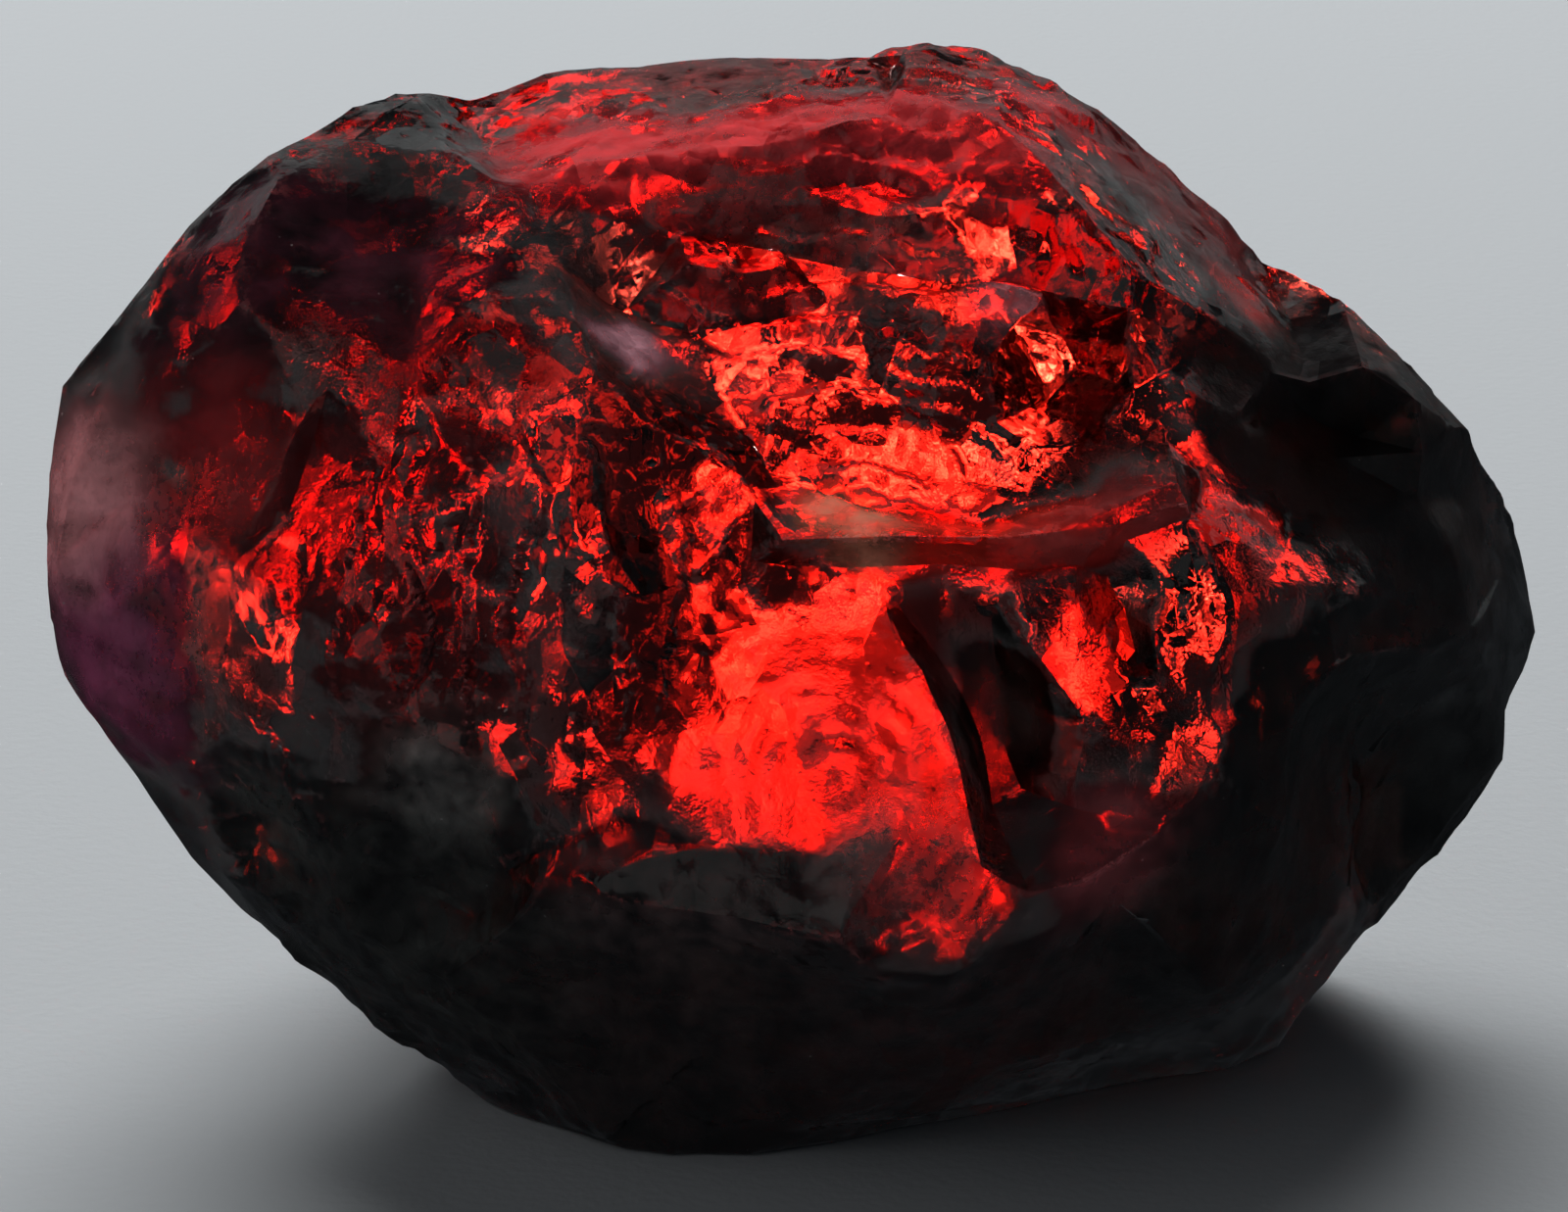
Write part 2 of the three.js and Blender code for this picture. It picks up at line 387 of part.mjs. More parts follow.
/** Delaunay triangles over flat points, by adding one point at a time, each turned anticlockwise. */
function triangulate(flat) {
  const wide = 1000; // the first triangle reaches well past all points
  const all = [...flat, [-wide, -wide], [wide, -wide], [0, wide]].map(([x, y]) => new THREE.Vector2(x, y));
  const circled = (corners) => {
    const [a, b, c] = corners.map((p) => all[p]);
    const area = 2 * b.clone().sub(a).cross(c.clone().sub(a));
    const [aa, bb, cc] = [a, b, c].map((p) => p.lengthSq());
    const x = (aa * (b.y - c.y) + bb * (c.y - a.y) + cc * (a.y - b.y)) / area;
    const y = (aa * (c.x - b.x) + bb * (a.x - c.x) + cc * (b.x - a.x)) / area;
    return { corners, x, y, reach: Math.hypot(a.x - x, a.y - y) };
  };
  let triangles = [circled([flat.length, flat.length + 1, flat.length + 2])];
  for (let p = 0; p < flat.length; p++) {
    const holds = ({ x, y, reach }) => Math.hypot(all[p].x - x, all[p].y - y) < reach;
    const edges = triangles.filter(holds).flatMap(({ corners: [a, b, c] }) => [[a, b], [b, c], [c, a]]);
    const rim = edges.filter(([a, b]) => !edges.some(([c, d]) => a === d && b === c));
    triangles = [...triangles.filter((one) => !holds(one)), ...rim.map(([a, b]) => circled([a, b, p]))];
  }
  return triangles.map(({ corners }) => corners).filter((corners) => Math.max(...corners) < flat.length);
}

/** Everything behind the front: its faces, stretched between the ridges, drawn back past the stone. */
function behindFront() {
  const turn = THREE.MathUtils.degToRad(FACING_UP);
  const back = new THREE.Vector3(0, Math.cos(turn), -Math.sin(turn));
  const up = new THREE.Vector3(0, Math.sin(turn), Math.cos(turn));
  const corners = new Map();
  for (const line of Object.values(FRONT)) {
    for (const corner of subdivide(line.map(vector), RIDGE_STEP)) {
      corners.set(corner.toArray().map((n) => n.toFixed(2)).join(" "), corner);
    }
  }
  const points = [...corners.values()];
  const faces = triangulate(points.map((p) => [p.x, p.dot(up)]));
  const turned = new Set(faces.flatMap(([a, b, c]) => [`${a} ${b}`, `${b} ${c}`, `${c} ${a}`]));
  const rim = faces
    .flatMap(([a, b, c]) => [[a, b], [b, c], [c, a]])
    .filter(([a, b]) => !turned.has(`${b} ${a}`));
  const n = points.length;
  const index = [
    ...faces.flat(),
    ...faces.flatMap(([a, b, c]) => [a + n, c + n, b + n]),
    ...rim.flatMap(([a, b]) => [b, a, a + n, b, a + n, b + n]),
  ];
  const far = points.map((p) => p.clone().addScaledVector(back, FAR));
  return solidOf(new THREE.BufferGeometry().setFromPoints([...points, ...far]).setIndex(index));
}

/** A conchoidal scar: the bite of a large ball, warped so that its rim comes out ragged. */
function flake(stone, { at, facing, radius, depth }) {
  const centre = vector(facing).normalize().multiplyScalar(radius - depth).add(vector(at));
  const ball = mergeVertices(new THREE.IcosahedronGeometry(radius, 9).deleteAttribute("uv"));
  const { points, faces } = meshOf(ball.translate(centre.x, centre.y, centre.z));
  warp(points, RAGGED);
  return stone.subtract(solidOf(new THREE.BufferGeometry().setFromPoints(points).setIndex(faces.flat())));
}

/** Repeatable numbers from 0 to 1. */
function dice(seed) {
  let state = seed;
  return () => {
    state = (state * 1664525 + 1013904223) % 4294967296;
    return state / 4294967296;
  };
}

/** Nicks exposed corners: a plane across each picked corner takes its tip off. */
function nick(stone) {
  const roll = dice(NICKS.seed);
  for (let i = 0; i < NICKS.count; i++) {
    const direction = new THREE.Vector3(roll() - 0.5, roll() - 0.5, roll() - 0.5).normalize();
    const { vertProperties } = stone.getMesh();
    let reach = -Infinity;
    for (let v = 0; v < vertProperties.length; v += 3) {
      reach = Math.max(reach, direction.dot(vector(vertProperties.subarray(v, v + 3))));
    }
    const at = direction.clone().multiplyScalar(reach - NICKS.bite * (0.5 + roll()));
    stone = split(stone, [{ at: at.toArray(), facing: direction.toArray() }]);
  }
  return stone;
}

/** An indexed position geometry from a solid. */
function geometryOf(solid) {
  const { vertProperties, triVerts } = solid.getMesh();
  return new THREE.BufferGeometry()
    .setAttribute("position", new THREE.BufferAttribute(new Float32Array(vertProperties), 3))
    .setIndex(new THREE.BufferAttribute(new Uint32Array(triVerts), 1));
}

/** The corners of a geometry as points, and its faces as triples of them. */
function meshOf(geometry) {
  const { position } = geometry.attributes;
  const points = Array.from({ length: position.count }, (_, i) =>
    new THREE.Vector3().fromBufferAttribute(position, i),
  );
  const faces = Array.from({ length: geometry.index.count / 3 }, (_, i) =>
    [0, 1, 2].map((k) => geometry.index.getX(3 * i + k)),
  );
  return { points, faces };
}

/** The way a face faces, times its area. */
function areaVector(a, b, c) {
  return b.clone().sub(a).cross(c.clone().sub(a)).multiplyScalar(0.5);
}

/** Draws the ends of short edges together, where that keeps the surface closed and turns no face over. */
function gather({ points, faces }, limit) {
  const around = points.map(() => new Set());
  faces.forEach((face, i) => face.forEach((p) => around[p].add(i)));
  const neighbours = (p) => new Set([...around[p]].flatMap((i) => faces[i]).filter((q) => q !== p));
  const fixed = (p) => {
    const ways = [...around[p]].map((i) => areaVector(...faces[i].map((q) => points[q])).normalize());
    return ways.some((way) => way.dot(ways[0]) < CREASE);
  };
  for (let moved = true; moved; ) {
    moved = false;
    for (let i = 0; i < faces.length; i++) {
      for (let k = 0; faces[i] && k < 3; k++) {
        const [keep, drop] = [faces[i][k], faces[i][(k + 1) % 3]];
        if (points[keep].distanceTo(points[drop]) > limit) continue;
        const shared = [...neighbours(keep)].filter((p) => neighbours(drop).has(p));
        if (shared.length !== 2) continue;
        const target = points[keep].clone();
        if (fixed(drop) === fixed(keep)) target.lerp(points[drop], 0.5);
        else if (fixed(drop)) target.copy(points[drop]);
        const turnsOver = [keep, drop].some((end) =>
          [...around[end]].some((j) => {
            if (faces[j].includes(keep) && faces[j].includes(drop)) return false;
            const was = areaVector(...faces[j].map((p) => points[p]));
            const is = areaVector(...faces[j].map((p) => (p === end ? target : points[p])));
            return was.length() > SLIVER && was.normalize().dot(is.clone().normalize()) < KEPT_FACING;
          }),
        );
        if (turnsOver) continue;
        points[keep].copy(target);
        for (const j of around[drop]) {
          if (faces[j].includes(keep)) {
            faces[j].forEach((p) => p !== drop && around[p].delete(j));
            faces[j] = null;
          } else {
            faces[j] = faces[j].map((p) => (p === drop ? keep : p));
            around[keep].add(j);
          }
        }
        around[drop].clear();
        moved = true;
      }
    }
  }
  return { points, faces: faces.filter(Boolean) };
}

/** Splits every edge longer than the limit, the same way on both of its faces, until none is left. */
function refine({ points, faces }, limit) {
  const name = (p, q) => (p < q ? `${p}_${q}` : `${q}_${p}`);
  for (let long = true; long; ) {
    // Only a face's longest edge is marked in a pass, so that faces stay well shaped.
    const marked = new Map();
    for (const face of faces) {
      const edges = face.map((p, k) => [p, face[(k + 1) % 3]]);
      const lengths = edges.map(([p, q]) => points[p].distanceTo(points[q]));
      const longest = Math.max(...lengths);
      const [p, q] = edges[lengths.indexOf(longest)];
      if (longest > limit && !marked.has(name(p, q))) {
        marked.set(name(p, q), points.push(points[p].clone().lerp(points[q], 0.5)) - 1);
      }
    }
    long = marked.size > 0;
    faces = faces.flatMap((face) => {
      const middle = face.map((p, k) => marked.get(name(p, face[(k + 1) % 3])));
      const cuts = middle.filter((m) => m !== undefined).length;
      const whole = middle.indexOf(undefined);
      // Corners and middles are turned so that one cut comes first, or with two the whole edge last.
      const first = cuts === 1 ? middle.findIndex((m) => m !== undefined) : cuts === 2 ? (whole + 1) % 3 : 0;
      const [a, b, c] = [0, 1, 2].map((k) => face[(first + k) % 3]);
      const [ab, bc, ca] = [0, 1, 2].map((k) => middle[(first + k) % 3]);
      if (cuts === 1) return [[a, ab, c], [ab, b, c]];
      if (cuts === 2) return [[a, ab, bc], [ab, b, bc], [a, bc, c]];
      if (cuts === 3) return [[a, ab, ca], [ab, b, bc], [ca, bc, c], [ab, bc, ca]];
      return [face];
    });
  }
  return { points, faces };
}

/** Moves points by smooth noise of each amplitude and wavelength, so that faces and edges waver. */
function warp(points, waves) {
  const noise = new ImprovedNoise();
  const shifts = [[0, 0, 0], [31.4, 7.7, 2.1], [5.3, 47.9, 13.8]]; // a separate field for each axis
  for (const p of points) {
    const at = p.clone();
    for (const { amplitude, wavelength } of waves) {
      const q = at.clone().divideScalar(wavelength);
      const push = shifts.map(([x, y, z]) => noise.noise(q.x + x, q.y + y, q.z + z));
      p.add(vector(push).multiplyScalar(amplitude));
    }
  }
}

/** Cuts the flat rest face, and puts the origin under the middle of the stone. */
function settle(solid) {
  const cut = split(solid, [{ at: [0, 0, FOOT_CUT], facing: [0, 0, -1] }]);
  const geometry = geometryOf(cut);
  geometry.computeBoundingBox();
  const { min, max } = geometry.boundingBox;
  return geometry.translate(-(min.x + max.x) / 2, -(min.y + max.y) / 2, -min.z);
}

function crystal() {
  let stone = blank().intersect(behindFront());
  for (const planes of Object.values(BREAKS)) stone = split(stone, planes);
  for (const scar of Object.values(SCARS)) stone = flake(stone, scar);
  stone = nick(stone);
  const { points, faces } = refine(gather(meshOf(geometryOf(stone)), SHORTEST_EDGE), LONGEST_EDGE);
  warp(points, [SWELL, GRAIN]);
  const geometry = new THREE.BufferGeometry().setFromPoints(points).setIndex(faces.flat());
  return settle(solidOf(geometry));
}

const painite = new THREE.Mesh(
  crystal(),
  new THREE.MeshStandardMaterial({ color: 0x3a060a, roughness: 0.12, metalness: 0 }),
);
painite.name = "painite_crystal";

const part = new THREE.Group();
part.add(painite);

export default part;
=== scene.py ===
# %% [markdown]
# # A rough painite crystal
# Painite is a rare, deep red, see-through mineral. This piece is a broken fragment about 20 mm long.
# The frame is the plain faceted solid of the stone, with its ledge, walls and hollows in place.
# Everything here is added on top of that solid: the fine breakage of its faces, the clear red crystal
# it is made of, and the light that makes it glow.

# %% Load the frame
import math

import bmesh
import bpy
import numpy as np
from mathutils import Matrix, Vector, noise


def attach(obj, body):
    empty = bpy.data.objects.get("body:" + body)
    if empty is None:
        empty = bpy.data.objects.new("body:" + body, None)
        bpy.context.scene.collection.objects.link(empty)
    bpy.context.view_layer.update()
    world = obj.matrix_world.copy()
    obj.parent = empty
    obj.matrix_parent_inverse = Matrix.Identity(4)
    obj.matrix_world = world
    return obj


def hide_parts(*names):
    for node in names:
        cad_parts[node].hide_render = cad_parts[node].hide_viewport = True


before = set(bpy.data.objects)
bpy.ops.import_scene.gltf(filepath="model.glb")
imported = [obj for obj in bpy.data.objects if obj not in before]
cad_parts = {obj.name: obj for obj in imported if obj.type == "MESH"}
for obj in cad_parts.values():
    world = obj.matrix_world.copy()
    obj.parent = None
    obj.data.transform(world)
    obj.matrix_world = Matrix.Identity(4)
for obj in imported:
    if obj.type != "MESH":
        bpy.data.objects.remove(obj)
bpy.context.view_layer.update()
MM = 0.001
SEED = 1795483224  # keeps the breakage the same in each run
noise.seed_set(SEED)

# %% [markdown]
# ## The camera
# A close-up of a small stone is taken with a long lens from a little above. A long lens keeps the stone
# free of perspective, and looking down 20 degrees shows its top, the ledge and the shadow together.
# The camera looks at a point in the middle of the stone, so it is placed by turning back from there.

# %% Camera
LOOK_AT = Vector((-0.25, -0.2, 6.02)) * MM
LOOKING_DOWN = math.radians(20)
CAMERA_DISTANCE = 100 * MM
LENS = 173.1  # mm, on a sensor 36 mm wide

towards_camera = Vector((0, -math.cos(LOOKING_DOWN), math.sin(LOOKING_DOWN)))
camera = bpy.data.objects.new("camera", bpy.data.cameras.new("camera"))
camera.data.sensor_width = 36
camera.data.lens = LENS
camera.data.clip_start = 1 * MM
camera.location = LOOK_AT + towards_camera * CAMERA_DISTANCE
camera.rotation_euler = towards_camera.to_track_quat("Z", "Y").to_euler()
bpy.context.scene.collection.objects.link(camera)
bpy.context.scene.camera = camera
print("camera at, mm:", [round(c / MM, 1) for c in camera.location])

# %% [markdown]
# ## The stone's mesh
# The solid's faces are a little under a millimetre across, which is too coarse for a surface seen so
# close. A copy of its mesh is split finer, and then smoothed with every real edge held in place.
# That gives clean breaks that meet in crisp edges, as glassy minerals have. The copy stands for the
# solid, which stays hidden in the frame for its weight and collision.

# %% Copy and split the solid
SAME_POINT = 0.001  # mm, points closer than this become one
CUTS = 2  # new points along each edge of the solid
REAL_EDGE = math.radians(24)  # faces that meet at more than this meet in an edge

solid = bpy.data.objects["painite_crystal"]
crystal_mesh = bpy.data.meshes.new("painite_stone")
mesh = bmesh.new()
mesh.from_mesh(solid.data)
bmesh.ops.remove_doubles(mesh, verts=mesh.verts, dist=SAME_POINT * MM)
bmesh.ops.subdivide_edges(mesh, edges=mesh.edges[:], cuts=CUTS, use_grid_fill=True)
bmesh.ops.triangulate(mesh, faces=mesh.faces[:])
mesh.verts.index_update()
print("split into", len(mesh.verts), "points and", len(mesh.faces), "faces")

# %% Which points lie on a real edge
FOOT_HEIGHT = 0.02  # mm, points below this belong to the flat rest face

points = np.array([v.co for v in mesh.verts]) / MM
edges = np.array([[v.index for v in e.verts] for e in mesh.edges])
is_crease = np.array([e.calc_face_angle(0) > REAL_EDGE for e in mesh.edges])
crease_count = np.bincount(edges[is_crease].ravel(), minlength=len(points))
on_foot = points[:, 2] < FOOT_HEIGHT
print("points on real edges:", int((crease_count > 0).sum()))


# %% Smooth, holding the edges
def neighbour_average(pairs):
    """The average place of each point's neighbours along these edges, in mm."""
    total = np.zeros_like(points)
    count = np.zeros(len(points))
    for near, far in ((0, 1), (1, 0)):
        np.add.at(total, pairs[:, near], points[pairs[:, far]])
        np.add.at(count, pairs[:, near], 1)
    return total / np.maximum(count, 1)[:, None]


SMOOTHING_STEPS = 4
EDGE_SMOOTHING = 0.5  # how far points on an edge move, as a share of the way
free = (crease_count == 0) & ~on_foot
along_edge = (crease_count == 2) & ~on_foot
for _ in range(SMOOTHING_STEPS):
    everywhere = neighbour_average(edges)
    on_creases = neighbour_average(edges[is_crease])
    points[free] = everywhere[free]
    stay = (1 - EDGE_SMOOTHING) * points[along_edge]
    points[along_edge] = stay + EDGE_SMOOTHING * on_creases[along_edge]
for vert, point in zip(mesh.verts, points):
    vert.co = Vector(point) * MM
mesh.normal_update()
print("smoothed", int(free.sum()), "points")

# %% [markdown]
# ## Where the stone is shattered
# Some places on the stone broke into many small facets, and others parted in one clean, glassy sweep.
# One even noise would miss that difference, so the places are listed here one by one, each with its
# centre, its reach and an amount. The finest triangles, the breakage and the finish all follow this one
# map.

# %% Blend a list of zones
ZONE_WEIGHT = 2  # of a zone at its own centre


def spread(place, zones, base, base_weight):
    """Blend the amounts of these zones at a place, over an amount that holds far from all of them."""
    total = base * base_weight
    weight = base_weight
    for centre, reach, amount in zones:
        nearness = ZONE_WEIGHT * math.exp(-((place - Vector(centre)).length_squared) / reach**2)
        total += amount * nearness
        weight += nearness
    return min(max(total / weight, 0), 1)


one_zone = [((0, 0, 0), 1.0, 1.0)]
print("one zone, 1 mm from its centre:", round(spread(Vector((1, 0, 0)), one_zone, 0, 1), 2))

# %% Where it is shattered
# Centre in mm, reach in mm, and how shattered (1) or glassy (0) it is there.
BREAKAGE_ZONES = [
    ((-1.0, -1.2, 11.3), 2.6, 1.0),  # upper wall
    ((3.0, -0.8, 11.2), 2.2, 1.0),  # below the peak
    ((1.0, -2.4, 9.6), 2.6, 0.8),  # the hollow
    ((-1.4, -4.0, 8.2), 1.7, 1.0),  # slope beside the ledge
    ((-4.2, -4.2, 7.0), 1.8, 0.75),  # left face
    ((0.9, -4.0, 8.6), 0.7, 0.0),  # clean spot on the ledge
    ((2.2, -4.6, 7.2), 1.1, 0.3),  # block under the ledge
    ((0.2, -5.3, 6.0), 2.0, 0.02),  # dish
    ((-4.0, -1.6, 11.3), 2.0, 0.3),  # left block
    ((-8.0, -1.2, 8.6), 2.4, 0.15),  # left lobe
    ((6.8, -1.8, 8.9), 2.2, 0.2),  # basin
    ((3.4, -5.8, 5.0), 1.3, 0.15),  # half moon
    ((3.6, -4.4, 7.7), 0.8, 0.3),  # orange chunk
    ((-5.0, -4.0, 4.0), 2.6, 0.9),  # underside, left
    ((0.0, -5.0, 2.0), 2.6, 0.8),  # underside, middle
    ((6.0, -3.6, 3.6), 2.2, 0.6),  # underside, right
    ((4.0, 0.6, 11.4), 1.2, 0.4),  # shoulder
]
PATCH_SIZE = 3.7  # mm, of the patches far from all these zones
PATCH_WEIGHT = 0.3  # of those patches, beside the weight of a zone


def shattered(place):
    """How shattered the stone is at a place in mm, from 0 to 1."""
    elsewhere = 0.6 + 0.6 * noise.noise(place / PATCH_SIZE)
    return spread(place, BREAKAGE_ZONES, elsewhere, PATCH_WEIGHT)


print("zones of breakage:", len(BREAKAGE_ZONES))

# %% Finer triangles where the stone is shattered
MOST_TRIANGLES = 194000
FRONT_SHARE = 0.35  # how much more the front and top count than the back
TOP_SHARE = 0.6  # how much the top counts beside the front

split_worth = []
for face in mesh.faces:
    facing = max(0, -face.normal.y) + TOP_SHARE * max(0, face.normal.z)
    split_worth.append(shattered(face.calc_center_median() / MM) + FRONT_SHARE * facing)
wanted = (MOST_TRIANGLES - len(mesh.faces)) // 4  # each split makes up to four more, with its neighbours
finest = np.argsort(split_worth)[::-1][:wanted]
mesh.faces.ensure_lookup_table()
fine_edges = {edge for index in finest for edge in mesh.faces[index].edges}
bmesh.ops.subdivide_edges(mesh, edges=list(fine_edges), cuts=1, use_grid_fill=True)
bmesh.ops.triangulate(mesh, faces=mesh.faces[:])
mesh.normal_update()
print("triangles after the finer split:", len(mesh.faces))

# %% [markdown]
# ## The broken surface
# A brittle crystal breaks in shell-shaped scoops that meet in sharp crests, in thin steps where a crack
# jumped from one level to the next, and in fine rings round the point where it began. Each of these
# is a small function of the place, in mm. Every point then moves along its normal by their sum, so the
# breakage is real shape that catches and bends the light.


# %% Kinds of breakage
def scoops(place, size):
    """Shell-shaped hollows that meet in sharp crests. Each has its own lean and height."""
    spot = place / size
    surfaces = []
    for centre in noise.voronoi(spot)[1]:
        away = spot - centre
        lean = away.dot(noise.noise_vector(centre * 7.3))
        surfaces.append(0.7 * away.length_squared + lean + 0.35 * noise.noise(centre * 5.1))
    return min(surfaces)


def hackle(place, size):
    """Sharp little crests and hollows, as where a break tears."""
    fading, finer, octaves, offset, gain = 0.9, 2.1, 3, 1.0, 2.0
    return noise.ridged_multi_fractal(place / size, fading, finer, octaves, offset, gain) - 1.2


def steps(place, across, spacing):
    """Thin steps side by side: a slow climb along one direction and then a sudden drop."""
    wander = 0.9 * noise.noise(place / 1.7)
    jitter = 0.25 * noise.noise(place / 0.5)
    return (place.dot(across) / spacing + wander + jitter) % 1


def ripples(place, centre, spacing):
    """Rings round the point where the break began."""
    distance = (place - centre).length + 0.08 * noise.noise(place / 0.9)
    return math.sin(2 * math.pi * distance / spacing)


front = Vector((0, -5, 6))
print("height of a scoop at the front, as a share of its depth:", round(scoops(front, 1.9), 2))

# %% Steps and rings on the stone
# Each row: centre, reach, the direction across the steps, their spacing and their depth, in mm.
STEP_ZONES = [
    ((-3.6, -4.0, 7.4), 2.4, (0.95, -0.2, 0.1), 0.75, 0.13),  # left face, upright
    ((-0.2, -1.2, 11.2), 2.2, (0.1, 0.2, 0.97), 0.45, 0.08),  # upper wall, level
    ((1.2, -2.6, 9.4), 1.8, (0.35, 0.3, 0.88), 0.4, 0.07),  # hollow
    ((3.4, -5.0, 7.3), 1.2, (0.9, 0.0, 0.4), 0.4, 0.06),  # chunks under the ledge
    ((-6.6, -2.6, 4.2), 1.8, (0.6, 0.3, -0.75), 0.42, 0.06),  # ribs on the left underside
    ((0.5, 1.5, 12.2), 2.6, (0.05, 0.95, 0.3), 0.6, 0.06),  # plateau
]
# Each row: centre, reach, spacing and depth, in mm.
RING_ZONES = [
    ((0.4, -5.9, 5.7), 2.3, 0.36, 0.017),  # dish
    ((5.4, -3.2, 7.3), 1.2, 0.3, 0.02),  # square facet
    ((-6.2, -3.4, 4.6), 1.6, 0.38, 0.01),  # left underside
]
print("zones of steps and of rings:", len(STEP_ZONES), len(RING_ZONES))


# %% Move the points
def nearness_to(place, centre, reach):
    """Close to 1 inside a zone, and quickly down to 0 outside it."""
    return math.exp(-(((place - Vector(centre)).length / reach) ** 4))


LARGE_SCOOPS = (1.9, 0.22)  # size and depth, mm
SMALL_SCOOPS = (0.75, 0.12)
TINY_SCOOPS = (0.34, 0.05)
TEARS = (0.55, 0.03)
LARGE_SHARE = (0.35, 0.8)  # how deep they are in a glassy place, and how much more where it is shattered
SMALL_SHARE = (0.06, 1.0)
STILL_FOOT = 0.05  # nothing moves below this height, mm
FOOT_FADE = 0.3  # and the movement grows over this much above it, mm
SUNK = 0.04  # mm that the whole surface is let in, so that it stays close to the solid's size
TALLER = 1.4  # the scoops are this much longer up and down than across
TOO_FAR = 0.02  # a zone that is less near than this is passed over

amounts = {}
for vert in mesh.verts:
    place = vert.co / MM
    if place.z < STILL_FOOT:
        continue
    broken = shattered(place)
    tall = Vector((place.x, place.y, place.z / TALLER))
    large = LARGE_SHARE[0] + LARGE_SHARE[1] * broken
    small = SMALL_SHARE[0] + SMALL_SHARE[1] * broken
    depth = LARGE_SCOOPS[1] * scoops(tall, LARGE_SCOOPS[0]) * large
    depth += SMALL_SCOOPS[1] * scoops(tall, SMALL_SCOOPS[0]) * small
    depth += TINY_SCOOPS[1] * scoops(place, TINY_SCOOPS[0]) * broken**2
    depth += TEARS[1] * hackle(place, TEARS[0]) * broken
    for centre, reach, across, spacing, step in STEP_ZONES:
        nearness = nearness_to(place, centre, reach)
        if nearness > TOO_FAR:
            depth += step * nearness * steps(place, Vector(across), spacing)
    for centre, reach, spacing, height in RING_ZONES:
        nearness = nearness_to(place, centre, reach)
        if nearness > TOO_FAR:
            depth += height * nearness * ripples(place, Vector(centre), spacing)
    fade = min(1, (place.z - STILL_FOOT) / FOOT_FADE)
    amounts[vert] = (depth - SUNK) * fade
for vert, depth in amounts.items():
    vert.co = vert.co + vert.normal * depth * MM
print("moved by, mm:", round(min(amounts.values()), 2), "to", round(max(amounts.values()), 2))

# %% Make it a piece of the object
CRISP = math.radians(14)  # faces that meet at more than this show an edge
mesh.to_mesh(crystal_mesh)
mesh.free()
crystal_mesh.polygons.foreach_set("use_smooth", [True] * len(crystal_mesh.polygons))
crystal_mesh.set_sharp_from_angle(angle=CRISP)
stone = bpy.data.objects.new("painite_stone", crystal_mesh)
bpy.context.scene.collection.objects.link(stone)
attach(stone, "root")
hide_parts("painite_crystal")
print("triangles:", len(crystal_mesh.polygons))
